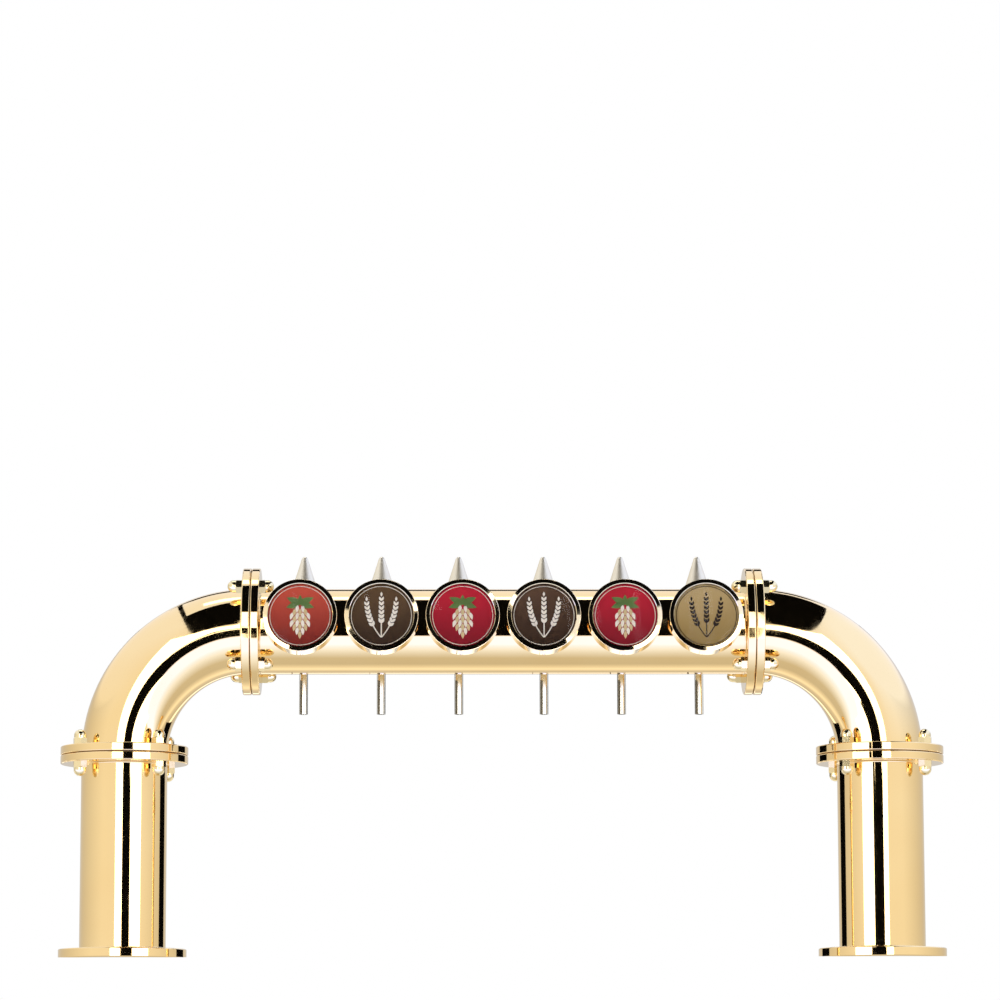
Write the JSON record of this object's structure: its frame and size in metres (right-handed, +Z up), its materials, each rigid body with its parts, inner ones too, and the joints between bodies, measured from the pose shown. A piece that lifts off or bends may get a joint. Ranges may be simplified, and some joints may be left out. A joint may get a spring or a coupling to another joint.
{
  "type": "bridge beer tower",
  "caption": "Polished gold bridge beer tower: flanged legs and elbows carry a bar with round medallions in front and lever taps with straight spouts behind.",
  "frame": {"origin": "on the counter, midway between the two legs and under the axis of the bar", "axes": "+X along the bar, +Y towards the bartender's side with the taps, +Z up"},
  "size_m": [0.9154, 0.1823, 0.4298],
  "materials": {
    "polished_gold": "polished",
    "stainless_steel": "satin",
    "black_rubber": "matte",
    "black_plastic": "matte",
    "clear_lens": "clear",
    "orange_red_plate": "gloss print",
    "olive_brown_plate": "gloss print",
    "crimson_plate": "gloss print",
    "dark_brown_plate": "gloss print",
    "tan_gold_plate": "gloss print"
  },
  "bodies": {
    "tower": {"left_base_flange": "polished_gold", "left_leg_tube": "polished_gold", "left_leg_flange": "polished_gold", "left_elbow_lower_flange": "polished_gold", "left_elbow": "polished_gold", "left_elbow_upper_flange": "polished_gold", "left_bar_flange": "polished_gold", "right_base_flange": "polished_gold", "right_leg_tube": "polished_gold", "right_leg_flange": "polished_gold", "right_elbow_lower_flange": "polished_gold", "right_elbow": "polished_gold", "right_elbow_upper_flange": "polished_gold", "right_bar_flange": "polished_gold", "bar_tube": "polished_gold", "flange_gaskets": "black_rubber", "flange_studs": "polished_gold", "dome_nuts": "polished_gold", "tap_bosses": "polished_gold", "tap_shanks": "stainless_steel", "seat_washers": "black_rubber", "coupling_nuts": "polished_gold", "tap_body_1": "polished_gold", "tap_body_2": "polished_gold", "tap_body_3": "polished_gold", "tap_body_4": "polished_gold", "tap_body_5": "polished_gold", "tap_body_6": "polished_gold", "lever_pins": "stainless_steel", "spouts": "stainless_steel", "medallion_cups": "polished_gold", "medallion_bezels": "polished_gold", "medallion_plate_1": "orange_red_plate", "medallion_plate_2": "olive_brown_plate", "medallion_plate_3": "crimson_plate", "medallion_plate_4": "dark_brown_plate", "medallion_plate_5": "crimson_plate", "medallion_plate_6": "tan_gold_plate", "medallion_lenses": "clear_lens", "beer_lines": "stainless_steel", "coolant_pipe": "stainless_steel", "line_spacers": "black_plastic"},
    "lever_body_1": {"lever_1": "polished_gold", "handle_1": "stainless_steel"},
    "plunger_body_1": {"plunger_1": "stainless_steel"},
    "lever_body_2": {"lever_2": "polished_gold", "handle_2": "stainless_steel"},
    "plunger_body_2": {"plunger_2": "stainless_steel"},
    "lever_body_3": {"lever_3": "polished_gold", "handle_3": "stainless_steel"},
    "plunger_body_3": {"plunger_3": "stainless_steel"},
    "lever_body_4": {"lever_4": "polished_gold", "handle_4": "stainless_steel"},
    "plunger_body_4": {"plunger_4": "stainless_steel"},
    "lever_body_5": {"lever_5": "polished_gold", "handle_5": "stainless_steel"},
    "plunger_body_5": {"plunger_5": "stainless_steel"},
    "lever_body_6": {"lever_6": "polished_gold", "handle_6": "stainless_steel"},
    "plunger_body_6": {"plunger_6": "stainless_steel"}
  },
  "joints": [
    {"name": "lever_1_pull", "type": "hinge", "parent": "tower", "child": "lever_body_1", "pos_m": [-0.209, 0.09155, 0.3488], "axis": [-1, 0, 0], "range_deg": [0, 40]},
    {"name": "plunger_1_stroke", "type": "slide", "parent": "tower", "child": "plunger_body_1", "axis": [0, -1, 0], "range_m": [0, 0.00643]},
    {"name": "lever_2_pull", "type": "hinge", "parent": "tower", "child": "lever_body_2", "pos_m": [-0.127, 0.09155, 0.3488], "axis": [-1, 0, 0], "range_deg": [0, 40]},
    {"name": "plunger_2_stroke", "type": "slide", "parent": "tower", "child": "plunger_body_2", "axis": [0, -1, 0], "range_m": [0, 0.00643]},
    {"name": "lever_3_pull", "type": "hinge", "parent": "tower", "child": "lever_body_3", "pos_m": [-0.045, 0.09155, 0.3488], "axis": [-1, 0, 0], "range_deg": [0, 40]},
    {"name": "plunger_3_stroke", "type": "slide", "parent": "tower", "child": "plunger_body_3", "axis": [0, -1, 0], "range_m": [0, 0.00643]},
    {"name": "lever_4_pull", "type": "hinge", "parent": "tower", "child": "lever_body_4", "pos_m": [0.045, 0.09155, 0.3488], "axis": [-1, 0, 0], "range_deg": [0, 40]},
    {"name": "plunger_4_stroke", "type": "slide", "parent": "tower", "child": "plunger_body_4", "axis": [0, -1, 0], "range_m": [0, 0.00643]},
    {"name": "lever_5_pull", "type": "hinge", "parent": "tower", "child": "lever_body_5", "pos_m": [0.127, 0.09155, 0.3488], "axis": [-1, 0, 0], "range_deg": [0, 40]},
    {"name": "plunger_5_stroke", "type": "slide", "parent": "tower", "child": "plunger_body_5", "axis": [0, -1, 0], "range_m": [0, 0.00643]},
    {"name": "lever_6_pull", "type": "hinge", "parent": "tower", "child": "lever_body_6", "pos_m": [0.209, 0.09155, 0.3488], "axis": [-1, 0, 0], "range_deg": [0, 40]},
    {"name": "plunger_6_stroke", "type": "slide", "parent": "tower", "child": "plunger_body_6", "axis": [0, -1, 0], "range_m": [0, 0.00643]}
  ],
  "couplings": [
    {"joint": "plunger_1_stroke", "follows": "lever_1_pull", "m_per_rad": 0.0092073},
    {"joint": "plunger_2_stroke", "follows": "lever_2_pull", "m_per_rad": 0.0092073},
    {"joint": "plunger_3_stroke", "follows": "lever_3_pull", "m_per_rad": 0.0092073},
    {"joint": "plunger_4_stroke", "follows": "lever_4_pull", "m_per_rad": 0.0092073},
    {"joint": "plunger_5_stroke", "follows": "lever_5_pull", "m_per_rad": 0.0092073},
    {"joint": "plunger_6_stroke", "follows": "lever_6_pull", "m_per_rad": 0.0092073}
  ]
}
